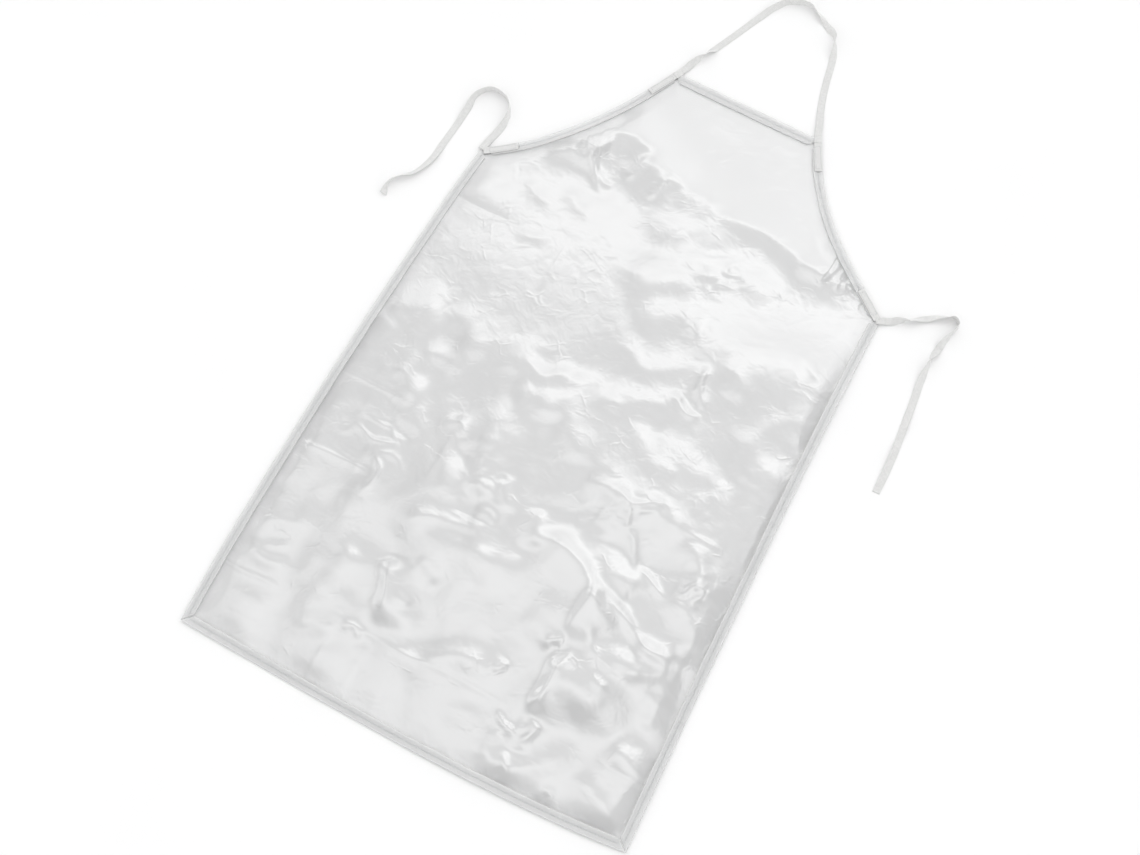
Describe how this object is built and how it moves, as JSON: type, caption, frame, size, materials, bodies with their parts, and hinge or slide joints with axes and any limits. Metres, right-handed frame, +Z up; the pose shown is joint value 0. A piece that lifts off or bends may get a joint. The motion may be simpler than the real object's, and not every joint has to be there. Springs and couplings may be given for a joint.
{
  "type": "clear film bib apron",
  "caption": "Clear film bib apron laid flat: a hemmed A-line panel with concave armholes, a woven tape neck loop and woven waist ties.",
  "frame": {"origin": "under the middle of the bounding box of the hemmed panel and its sewn tape ends, on the surface it lies on", "axes": "+X to the right seen from above, +Y from the bottom edge to the bib, +Z up from the surface"},
  "size_m": [0.9059, 1.4023, 0.0122],
  "materials": {
    "clear_film": "clear, slightly grey soft film with a semi-gloss face and fold creases",
    "doubled_film": "the same film turned over twice, so it looks darker",
    "woven_tape": "matt white woven polyester tape",
    "sewing_thread": "pale grey spun thread"
  },
  "bodies": {
    "apron": {"film_panel": "clear_film", "hem_bottom": "doubled_film", "hem_right_side": "doubled_film", "hem_right_armhole": "doubled_film", "hem_bib": "doubled_film", "hem_left_armhole": "doubled_film", "hem_left_side": "doubled_film", "hem_stitching_bottom": "sewing_thread", "hem_stitching_right_side": "sewing_thread", "hem_stitching_right_armhole": "sewing_thread", "hem_stitching_bib": "sewing_thread", "hem_stitching_left_armhole": "sewing_thread", "hem_stitching_left_side": "sewing_thread", "tape_end_neck_left": "woven_tape", "tape_end_neck_right": "woven_tape", "tape_end_tie_left": "woven_tape", "tape_end_tie_right": "woven_tape", "tape_stitching_neck_left": "sewing_thread", "tape_stitching_neck_right": "sewing_thread", "tape_stitching_tie_left": "sewing_thread", "tape_stitching_tie_right": "sewing_thread"},
    "neck_tape": {"neck_loop": "woven_tape"},
    "left_tie": {"waist_tie_left": "woven_tape"},
    "right_tie": {"waist_tie_right": "woven_tape"}
  },
  "joints": [
    {"name": "neck_loop_fold", "type": "hinge", "parent": "apron", "child": "neck_tape", "pos_m": [0.00305, 0.5829, 0.0029], "axis": [0.9987, -0.0516, 0], "range_deg": [0, 150]},
    {"name": "left_tie_swing", "type": "hinge", "parent": "apron", "child": "left_tie", "pos_m": [-0.3363, 0.3178, 0.0029], "axis": [0.1758, 0.9844, 0], "range_deg": [0, 135]},
    {"name": "right_tie_swing", "type": "hinge", "parent": "apron", "child": "right_tie", "pos_m": [0.3533, 0.3134, 0.0029], "axis": [0, -1, 0], "range_deg": [0, 135]}
  ]
}
